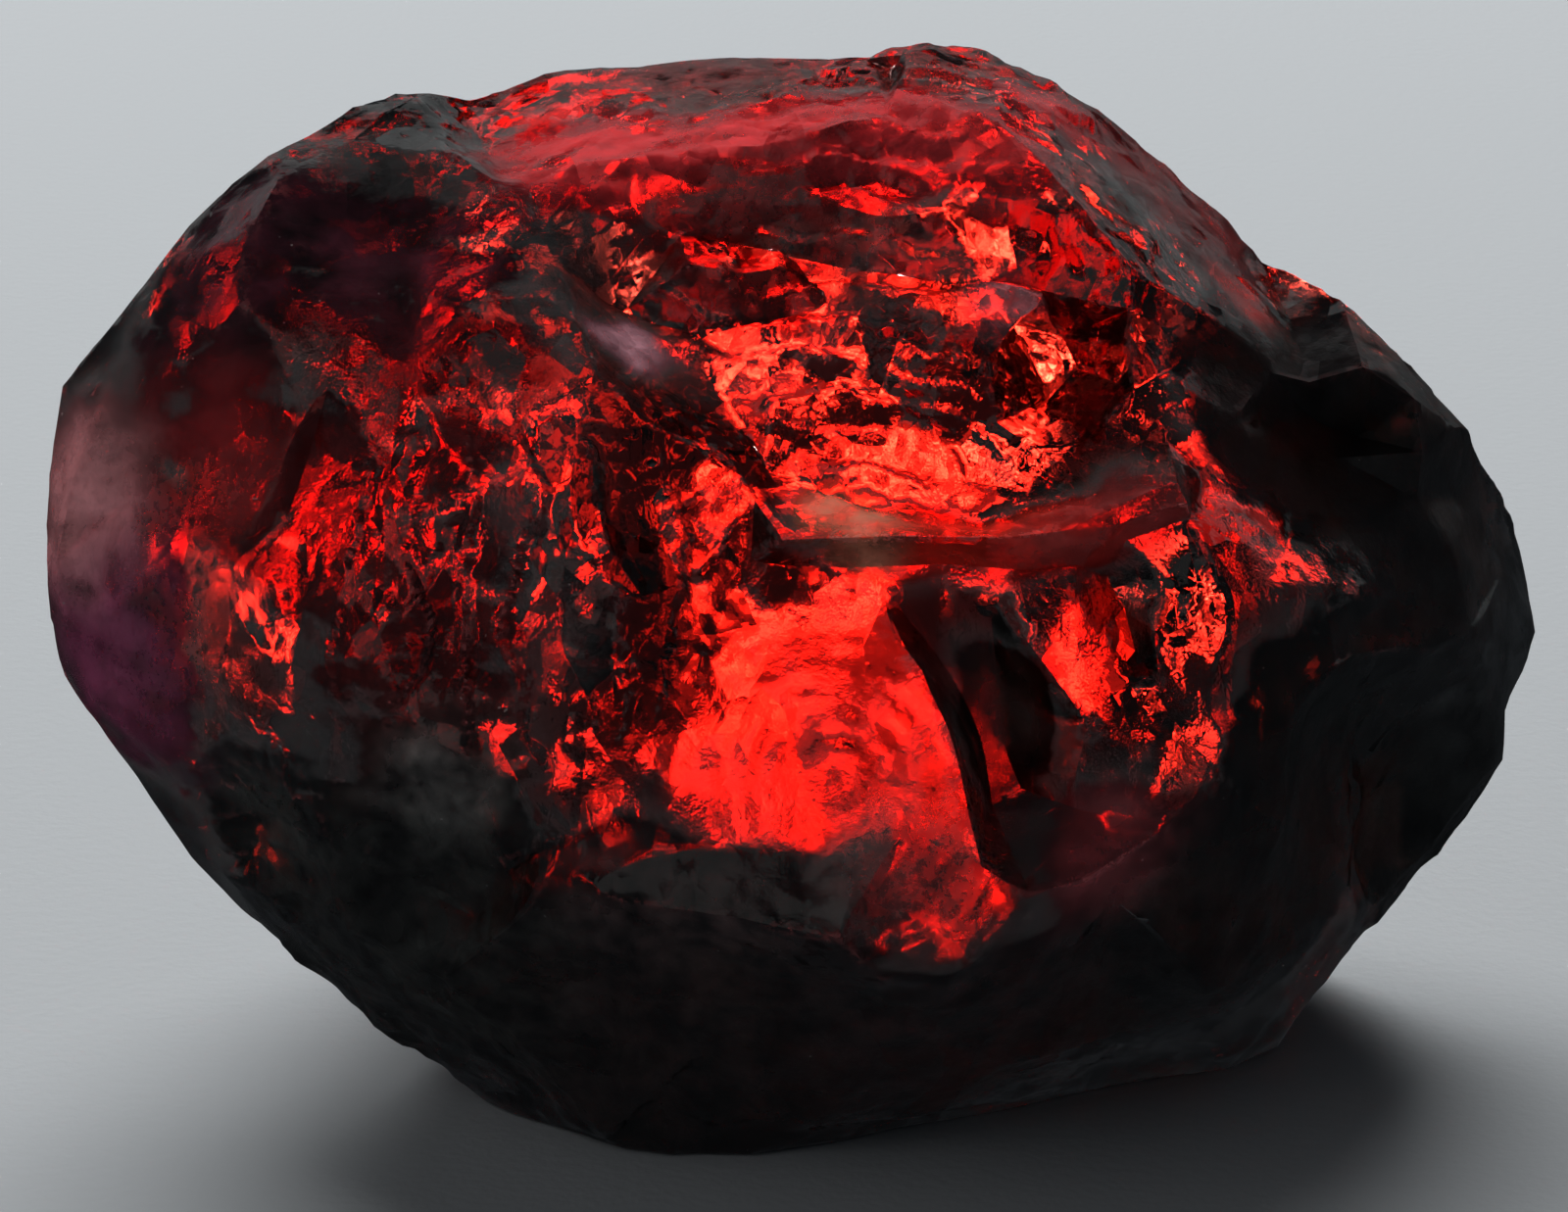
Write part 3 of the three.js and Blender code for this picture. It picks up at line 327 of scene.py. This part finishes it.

# %% [markdown]
# ## The map of the finish
# Where the stone is crushed it looks frosted. A matte film is laid on in listed places: some of it is
# dust and frost, and much of it is painted light, bright where light would shine through the stone, and
# near-black as painted shade on the underside, the basin and the right end. These amounts are kept on
# the mesh as named attributes, so the material can read them anywhere on the stone. Sharp crests are
# paler, partly chipped and partly a painted red highlight that fades out towards the foot, and they are
# found from the way the surface bends at each point.

# %% Where the film and the frost lie
# Centre in mm, reach in mm, how much of the film there is, and its colour.
FILM_AND_PAINTED_LIGHT_ZONES = [
    # The plateau strip and the peak are frosted, and their bright red film also paints the glow of light
    # coming through the stone.
    ((-3.0, 1.1, 11.9), 1.1, 1.0, (0.90, 0.04, 0.05)),  # bright strip of the plateau
    ((-1.3, 0.5, 12.2), 1.2, 1.0, (0.90, 0.04, 0.05)),
    ((0.7, 0.5, 12.5), 1.2, 1.0, (0.90, 0.04, 0.05)),
    ((2.4, 0.2, 12.4), 0.9, 0.6, (0.85, 0.07, 0.08)),  # peak
    ((3.4, 1.8, 12.3), 0.9, 0.7, (0.85, 0.07, 0.08)),
    ((-0.8, -1.2, 11.4), 1.6, 0.28, (0.30, 0.015, 0.015)),  # upper wall
    ((-2.2, -2.1, 10.3), 0.45, 0.9, (0.95, 0.45, 0.55)),  # pale chip at the left
    ((2.7, -1.6, 10.7), 0.45, 0.8, (0.90, 0.30, 0.35)),  # pale chip at the right
    # The ledge films are painted glow: a pale orange spot and a bright red band, where light would shine
    # up through the ledge.
    ((0.6, -4.0, 8.65), 0.6, 1.5, (1.00, 0.36, 0.22)),  # pale spot on the ledge
    ((1.7, -4.2, 8.5), 0.6, 0.6, (1.00, 0.05, 0.03)),  # the rest of the ledge
    ((2.6, -4.2, 8.5), 0.6, 0.6, (1.00, 0.05, 0.03)),
    ((3.4, -4.1, 8.6), 0.6, 0.6, (1.00, 0.06, 0.05)),
    ((4.3, -3.8, 8.9), 0.6, 0.6, (0.70, 0.10, 0.10)),
    # The notch beside the dish is a near-black film: painted shade over the glow that would come through
    # there.
    ((2.6, -4.7, 6.5), 0.7, 0.8, (0.03, 0.008, 0.006)),  # notch beside the dish
    ((2.5, -4.8, 5.7), 0.6, 0.8, (0.03, 0.008, 0.006)),
    # The half moon is a greyish red film that paints a sheen from the sky above; the facet below the
    # dish is a pink film that paints a pale highlight.
    ((3.9, -5.7, 4.7), 0.9, 0.6, (0.60, 0.10, 0.12)),  # half moon
    ((1.3, -6.6, 4.9), 0.8, 0.3, (1.00, 0.22, 0.22)),  # facet below the dish
    # The spear-shaped facet is a grey film that paints a sheen.
    ((-2.3, -6.2, 4.2), 0.8, 0.6, (0.10, 0.06, 0.06)),  # spear-shaped facet
    ((-0.9, -6.6, 4.3), 0.7, 0.6, (0.10, 0.06, 0.06)),
    ((-5.3, -1.2, 11.2), 1.9, 0.35, (0.10, 0.015, 0.03)),  # left block
    ((-7.6, -0.7, 10.9), 1.4, 0.7, (0.06, 0.010, 0.02)),
    ((-4.6, -3.2, 9.8), 1.6, 0.28, (0.20, 0.01, 0.01)),  # slope below it
    ((-4.9, -4.8, 7.4), 1.6, 0.36, (0.20, 0.01, 0.01)),
    ((-6.5, -3.4, 8.4), 1.2, 0.30, (0.20, 0.01, 0.01)),
    # The rim of the left lobe (tan pink) and the red patch two rows down are painted glow, where light
    # would come through the lobe's thin parts.
    ((-9.5, -1.1, 7.9), 1.2, 0.9, (0.95, 0.33, 0.35)),  # rim of the left lobe
    ((-9.0, -2.2, 6.2), 1.5, 0.9, (0.28, 0.03, 0.11)),  # foot of the left lobe
    ((-7.6, -2.3, 9.0), 1.3, 0.4, (0.60, 0.015, 0.02)),
    ((5.2, 2.2, 10.9), 1.4, 0.7, (0.30, 0.008, 0.008)),  # slope on the right
    # The bright streak is a red film that paints light shining through the slope.
    ((5.8, 0.5, 10.1), 0.4, 1.0, (0.95, 0.03, 0.02)),  # bright streak on it
    # From the basin round the right end and under its right side, these near-black films are painted
    # shade; the grey-green one at the right end also paints a faint sheen.
    ((6.9, -0.5, 8.6), 1.8, 2.0, (0.008, 0.006, 0.006)),  # basin
    ((6.3, -1.5, 9.0), 1.1, 2.0, (0.010, 0.006, 0.006)),
    ((8.2, -0.4, 7.2), 1.5, 2.0, (0.008, 0.008, 0.008)),
    ((9.4, 1.2, 5.2), 1.8, 2.0, (0.030, 0.033, 0.036)),  # right end
    ((6.7, -3.2, 4.8), 1.8, 2.0, (0.006, 0.008, 0.007)),
    ((8.3, 0.0, 3.2), 1.6, 2.0, (0.006, 0.008, 0.007)),
    ((5.0, -4.4, 2.8), 1.7, 2.0, (0.010, 0.010, 0.010)),
    ((-4.5, -5.3, 5.6), 0.9, 0.8, (0.12, 0.12, 0.11)),  # powder below the left face
    ((-6.8, -3.7, 4.5), 1.0, 0.5, (0.045, 0.050, 0.045)),
    # The underside films are painted shade: near-black where the stone lies in its own shadow.
    ((-5.0, -4.2, 2.8), 2.3, 2.0, (0.016, 0.018, 0.016)),  # underside
    ((-1.0, -5.2, 2.0), 2.3, 2.0, (0.024, 0.013, 0.012)),
    ((2.0, -5.0, 1.8), 1.8, 2.0, (0.030, 0.009, 0.009)),
]
# Centre in mm, reach in mm, and how frosted it is.
FROST_ZONES = [
    ((0.4, -5.6, 5.6), 1.7, 0.5),  # dish
    ((-0.4, 0.6, 12.3), 1.8, 0.8),  # plateau
    ((-8.6, -2.2, 7.2), 1.6, 0.8),  # left lobe
    ((1.6, -6.4, 5.0), 0.9, 1.0),  # facet below the dish
]
print("zones of film and of frost:", len(FILM_AND_PAINTED_LIGHT_ZONES), len(FROST_ZONES))

# %% Find the crests
# The pale red on the crests is partly chipping and partly a painted highlight, which fades out towards
# the foot and where the film is dark.
SHARPEST_CREST = 0.35
FAINTEST_CREST = 0.4  # as a share of the sharpest
CRESTS_FROM, CRESTS_FULL = 2.0, 4.5  # height in mm, as the crests near the foot aren't pale

corners = np.array([v.co for v in crystal_mesh.vertices])
normals = np.array([v.normal for v in crystal_mesh.vertices])
pairs = np.array([e.vertices for e in crystal_mesh.edges])
along = corners[pairs[:, 1]] - corners[pairs[:, 0]]
along /= np.linalg.norm(along, axis=1)[:, None] + 1e-12
rise = np.zeros(len(corners))
np.add.at(rise, pairs[:, 0], -(normals[pairs[:, 0]] * along).sum(axis=1))
np.add.at(rise, pairs[:, 1], (normals[pairs[:, 1]] * along).sum(axis=1))
rise /= np.bincount(pairs.ravel(), minlength=len(corners))
sharp = np.clip(rise / SHARPEST_CREST - FAINTEST_CREST, 0, 1)
high = np.clip((corners[:, 2] / MM - CRESTS_FROM) / (CRESTS_FULL - CRESTS_FROM), 0, 1)
crests = sharp * high
print("share of points on a crest:", round(float((crests > 0.1).mean()), 3))

# %% Film and patches at a place
DARK_TINT = 0.12  # a film brighter than this is less mottled
LEAST_TINT = 0.15  # of its own colour, in the darkest spots


def film_at(place):
    """The colour of the film at a place in mm, with its amount as the fourth number."""
    colour = Vector((0, 0, 0))
    total = 0
    ragged = place + 0.3 * noise.noise_vector(place / 0.8)
    for centre, reach, amount, tint in FILM_AND_PAINTED_LIGHT_ZONES:
        here = amount * math.exp(-(((ragged - Vector(centre)).length / reach) ** 3))
        colour += here * Vector(tint)
        total += here
    # Smears are long across and thin up and down.
    streaked = Vector((0.7 * place.x, 1.5 * place.y, 2.6 * place.z)) * 0.8
    smear = noise.fractal(streaked, 0.7, 2.0, 4)
    colour /= max(total, 0.001)
    uneven = min(1, DARK_TINT / max(max(colour), 0.001))
    mottle = 1 + uneven * (1.1 * noise.noise(place / 0.5) + 0.8 * noise.noise(place / 0.17))
    amount = min(total * min(max(0.8 + 0.7 * smear, 0.3), 1), 1)
    return (*(colour * max(mottle, LEAST_TINT)), amount)


def patches_at(place):
    """Soft patches about a millimetre across, from 0 to 1."""
    return 0.5 + 0.5 * noise.fractal(place * 0.9, 0.8, 2.0, 2)


print("film on the ledge:", [round(c, 2) for c in film_at(Vector((0.6, -4.0, 8.65)))])


# %% Keep them on the mesh
def keep(name, kind, values):
    """Keep a value for each point of the mesh, under this name."""
    layer = crystal_mesh.attributes.new(name, kind, "POINT")
    layer.data.foreach_set("color" if kind == "FLOAT_COLOR" else "value", values)


places = [v.co / MM for v in crystal_mesh.vertices]
keep("shattered", "FLOAT", [shattered(place) for place in places])
keep("frost", "FLOAT", [spread(place, FROST_ZONES, 0, 0.35) for place in places])
keep("film", "FLOAT_COLOR", [channel for place in places for channel in film_at(place)])
keep("patches", "FLOAT", [patches_at(place) for place in places])
keep("crest", "FLOAT", crests)
print("kept for each of", len(places), "points: shattered, frost, film, patches, crest")

# %% [markdown]
# ## The crystal
# Painite bends light strongly and lets only red through. So the surface is a clear glass of its own
# index, and the red comes from absorption inside: a thin edge is pale, and a thick middle is nearly
# black until strong light is behind it. Painting the surface red would miss that. On top of that come
# the finest facets as bump, roughness that changes from place to place, and a thin matte film: frost and
# dust in some places, and painted glow and painted shade in others.

# %% A helper for nodes
crystal = bpy.data.materials.new("red painite")
crystal.use_nodes = True
nodes, links = crystal.node_tree.nodes, crystal.node_tree.links


def add_node(kind, settings=None, **inputs):
    """Add a node, set its options, and set or link its inputs by name or number."""
    node = nodes.new(kind)
    for option, value in (settings or {}).items():
        setattr(node, option, value)
    for key, value in inputs.items():
        by_number = key.startswith("n") and key[1:].isdigit()
        socket = node.inputs[int(key[1:]) if by_number else key.replace("_", " ")]
        if isinstance(value, bpy.types.NodeSocket):
            links.new(value, socket)
        else:
            socket.default_value = value
    return node


def maths(operation, first, second=0.0):
    """One sum on two values."""
    return add_node("ShaderNodeMath", {"operation": operation}, n0=first, n1=second).outputs[0]


def ramp(value, low, high, new_low=0.0, new_high=1.0):
    """Stretch a value from one range to another, with soft ends."""
    settings = {"interpolation_type": "SMOOTHSTEP"}
    inputs = {"From_Min": low, "From_Max": high, "To_Min": new_low, "To_Max": new_high}
    return add_node("ShaderNodeMapRange", settings, Value=value, **inputs).outputs["Result"]


def kept(name):
    """What the mesh keeps under this name."""
    return add_node("ShaderNodeAttribute", {"attribute_name": name}).outputs


print("nodes to begin with:", [node.name for node in nodes])

# %% Facets in the finish
coordinates = add_node("ShaderNodeTexCoord").outputs["Object"]
in_mm = add_node("ShaderNodeMapping", Vector=coordinates, Scale=(1000, 1000, 1000)).outputs["Vector"]
LEAN = (0.2, 0.35, 0.1)
TALL = (1, 1, 0.5)
tall_mm = add_node("ShaderNodeMapping", Vector=in_mm, Rotation=LEAN, Scale=TALL).outputs["Vector"]


def facets(size):
    """Flat little facets about this big in mm, each leaning its own way. Gives their height in mm."""
    cells = add_node("ShaderNodeTexVoronoi", Vector=tall_mm, Scale=1 / size)
    less = {"operation": "SUBTRACT"}
    away = add_node("ShaderNodeVectorMath", less, n0=tall_mm, n1=cells.outputs["Position"])
    lean = add_node("ShaderNodeVectorMath", less, n0=cells.outputs["Color"], n1=(0.5, 0.5, 0.5))
    dot = {"operation": "DOT_PRODUCT"}
    height = add_node("ShaderNodeVectorMath", dot, n0=away.outputs[0], n1=lean.outputs[0])
    return height.outputs["Value"]


broken_here = kept("shattered")["Fac"]
patches = kept("patches")["Fac"]
grit_inputs = {"Scale": 8.0, "Detail": 2.0, "Roughness": 0.7}
grit = add_node("ShaderNodeTexNoise", Vector=in_mm, **grit_inputs).outputs["Fac"]
grit_depth = ramp(patches, 0.35, 0.7, 0.003, 0.012)  # mm
height = maths("MULTIPLY", facets(0.7), maths("MULTIPLY", broken_here, 0.5))
height = maths("ADD", height, maths("MULTIPLY", facets(0.22), maths("MULTIPLY", broken_here, 0.3)))
height = maths("ADD", height, maths("MULTIPLY", grit, grit_depth))
bump = add_node("ShaderNodeBump", Strength=1.0, Distance=1 * MM, Height=height)
print("nodes for the facets:", len(nodes))

# %% Film of frost and dust, and of painted glow and shade
# Crest colour: a painted red highlight on sharp edges, as well as chipping.
CREST_COLOUR = (0.50, 0.10, 0.10, 1)
SPECK_COLOUR = (0.25, 0.25, 0.24, 1)
MOST_FILM = 0.95
TINTS_FULLY = 0.2  # from this much film on, all of the light takes its colour

film_here = kept("film")
film = maths("MULTIPLY", film_here["Alpha"], ramp(grit, 0.35, 0.55, 0.85, 1.0))
speck = maths("MULTIPLY", ramp(grit, 0.74, 0.78), ramp(patches, 0.5, 0.56))
crest = maths("MULTIPLY", kept("crest")["Fac"], ramp(film_here["Alpha"], 0.3, 0.8, 1.0, 0.15))
crest = maths("MULTIPLY", crest, ramp(grit, 0.42, 0.6, 0.0, 0.7))
crest_share = maths("DIVIDE", crest, maths("MAXIMUM", maths("ADD", film, crest), 0.01))
film = maths("MINIMUM", maths("ADD", maths("ADD", film, crest), speck), MOST_FILM)
crest_colour = add_node("ShaderNodeMix", {"data_type": "RGBA"}, n0=crest_share)
links.new(film_here["Color"], crest_colour.inputs[6])
crest_colour.inputs[7].default_value = CREST_COLOUR
film_colour = add_node("ShaderNodeMix", {"data_type": "RGBA"}, n0=speck)
links.new(crest_colour.outputs[2], film_colour.inputs[6])
film_colour.inputs[7].default_value = SPECK_COLOUR
surface_colour = add_node("ShaderNodeMix", {"data_type": "RGBA"}, n0=ramp(film, 0.0, TINTS_FULLY))
surface_colour.inputs[6].default_value = (1, 1, 1, 1)
links.new(film_colour.outputs[2], surface_colour.inputs[7])
print("nodes with the film:", len(nodes))

# %% Crystal material
INDEX = 1.8
ABSORBED = 800  # per metre, of the colour that is absorbed most
BODY_COLOUR = (0.59, 0.10, 0.01)  # the share of that which each colour is spared
FILM_ROUGHNESS = 0.45

glass = nodes["Principled BSDF"]
roughness = maths("ADD", ramp(patches, 0.3, 0.75, 0.02, 0.12), maths("MULTIPLY", broken_here, 0.05))
frosted = maths("MULTIPLY", kept("frost")["Fac"], ramp(grit, 0.3, 0.6, 0.12, 0.35))
roughness = maths("ADD", roughness, frosted)
roughness = maths("MAXIMUM", roughness, maths("MULTIPLY", film, FILM_ROUGHNESS))
links.new(surface_colour.outputs[2], glass.inputs["Base Color"])
links.new(roughness, glass.inputs["Roughness"])
links.new(maths("SUBTRACT", 1.0, film), glass.inputs["Transmission Weight"])
links.new(bump.outputs["Normal"], glass.inputs["Normal"])
glass.inputs["IOR"].default_value = INDEX
inside = nodes.new("ShaderNodeVolumeAbsorption")
inside.inputs["Color"].default_value = (*BODY_COLOUR, 1)
inside.inputs["Density"].default_value = ABSORBED
links.new(inside.outputs["Volume"], nodes["Material Output"].inputs["Volume"])
crystal_mesh.materials.append(crystal)
per_mm = [round(ABSORBED * (1 - c) * MM, 2) for c in BODY_COLOUR]
print("crystal: index", INDEX, "absorbs red, green and blue, per mm:", per_mm)

# %% [markdown]
# ## Table
# The stone lies on plain pale paper with a little tooth to it. One large sheet is enough, because its
# edges stay out of view. It leaves no reflection in the stone: a broad lamp does that job further on,
# where its strength can be set.

# %% Paper
PAPER_SIZE = 3  # metres
PAPER_GAP = 0.05  # mm between the stone's foot and the paper, where a lamp fits
PAPER_COLOUR = (0.60, 0.635, 0.67, 1)
TOOTH_SCALE = 5500  # per metre, so the tooth is about 0.2 mm across
TOOTH_DEPTH = 0.03  # mm

bpy.ops.mesh.primitive_plane_add(size=PAPER_SIZE, location=(0, 0, -PAPER_GAP * MM))
paper = bpy.context.object
paper.name = "paper"
paper.visible_glossy = False
paper_material = bpy.data.materials.new("pale paper")
paper_material.use_nodes = True
paper_shader = paper_material.node_tree.nodes["Principled BSDF"]
paper_shader.inputs["Base Color"].default_value = PAPER_COLOUR
paper_shader.inputs["Roughness"].default_value = 0.9
paper_nodes, paper_links = paper_material.node_tree.nodes, paper_material.node_tree.links
tooth = paper_nodes.new("ShaderNodeTexNoise")
tooth.inputs["Scale"].default_value = TOOTH_SCALE
tooth.inputs["Detail"].default_value = 3
tooth_bump = paper_nodes.new("ShaderNodeBump")
tooth_bump.inputs["Strength"].default_value = 0.35
tooth_bump.inputs["Distance"].default_value = TOOTH_DEPTH * MM
paper_place = paper_nodes.new("ShaderNodeTexCoord")
paper_links.new(paper_place.outputs["Object"], tooth.inputs["Vector"])
paper_links.new(tooth.outputs["Fac"], tooth_bump.inputs["Height"])
paper_links.new(tooth_bump.outputs["Normal"], paper_shader.inputs["Normal"])
paper.data.materials.append(paper_material)
print("paper under the stone, mm:", round(paper.location.z / MM, 2))

# %% [markdown]
# ## Soft light
# A soft window behind and above throws the stone's shadow to the front. A weak fill from the left lights
# the matte film on the left lobe. Two more lamps are there only for gloss: one gives the upper facets
# their pale edge, and one lays a faint sheen on the facets near the camera.


# %% Window and fill
def soft_lamp(name, place, size, power, colour):
    """A soft rectangular lamp at a place in mm that shines on the stone. Power is in watts."""
    lamp = bpy.data.objects.new(name, bpy.data.lights.new(name, "AREA"))
    lamp.data.shape = "RECTANGLE"
    lamp.data.size, lamp.data.size_y = size[0] * MM, size[1] * MM
    lamp.data.energy = power
    lamp.data.color = colour
    lamp.location = Vector(place) * MM
    lamp.rotation_euler = (lamp.location - LOOK_AT).to_track_quat("Z", "Y").to_euler()
    lamp.visible_camera = False
    bpy.context.scene.collection.objects.link(lamp)
    return lamp


DAYLIGHT = (1.0, 0.99, 0.97)
WARM_WHITE = (1.0, 0.98, 0.96)
COOL_WHITE = (0.95, 1.0, 1.0)
GREENISH_WHITE = (0.95, 1.0, 0.97)

window = soft_lamp("window", (-40, 230, 239), (300, 200), 1.25, DAYLIGHT)
window.visible_glossy = False
window.visible_transmission = False
backdrop = soft_lamp("pale backdrop", (30, 230, 75), (420, 140), 0.03, COOL_WHITE)
backdrop.visible_diffuse = False
fill = soft_lamp("fill from the left", (-220, -80, 130), (300, 300), 0.085, WARM_WHITE)
fill.visible_glossy = False
sheen = soft_lamp("sheen", (-120, -200, 180), (240, 240), 0.02, GREENISH_WHITE)
sheen.visible_diffuse = False
print("soft lamps:", [lamp.name for lamp in (window, backdrop, fill, sheen)])

# %% [markdown]
# ## The glow
# A dark crystal glows only where strong light comes up behind it and leaves through the front. Each
# facet bends the line of sight down to one spot on the paper, about 9 mm behind the middle of the stone.
# So small lamps lie there, one on top of the other, each smaller and brighter than the one below. That
# gives a hot centre that fades outwards. A weak one beside them is for the left ridge, and one under the
# stone itself is for the ledge, the facets on top and the one below the dish.

# %% Lamps that only the crystal shows
LAMP_WHITE = (1.0, 0.95, 0.88)


def lamp_on_paper(name, place, size, power):
    """A small lamp that lies flat and shines up. It is seen only by light that comes through crystal."""
    lamp = soft_lamp(name, place, size, power, LAMP_WHITE)
    lamp.rotation_euler = (math.pi, 0, 0)
    lamp.visible_diffuse = False
    lamp.visible_glossy = False


# Name, place in mm, size in mm and power in watts.
GLOW_LAMPS = [
    ("outer glow", (0.5, 8.5, 0.29), (5, 7), 0.0018),
    ("middle glow", (0.5, 8.6, 0.30), (3, 4), 0.0035),
    ("inner glow", (0.5, 8.9, 0.31), (1.8, 2.0), 0.0028),
    ("core of the glow", (0.5, 9.1, 0.32), (0.9, 1.0), 0.0020),
    ("glow of the left ridge", (-4.4, 9.4, 0.30), (1.8, 2.6), 0.0004),
    ("lamp under the stone", (1.4, 3.1, -0.02), (4, 3.8), 0.009),
]
for lamp_settings in GLOW_LAMPS:
    lamp_on_paper(*lamp_settings)
print("lamps on the paper:", len(GLOW_LAMPS))

# %% [markdown]
# ## Room
# The room itself is dim and a little blue, so the shadow isn't black.

# %% Room
ROOM_COLOUR = (0.60, 0.66, 0.74, 1)
ROOM_STRENGTH = 0.035

world = bpy.data.worlds.new("room")
world.use_nodes = True
background = world.node_tree.nodes["Background"]
background.inputs["Color"].default_value = ROOM_COLOUR
background.inputs["Strength"].default_value = ROOM_STRENGTH
bpy.context.scene.world = world
bpy.context.scene.view_settings.view_transform = "Standard"
print("room strength:", ROOM_STRENGTH)
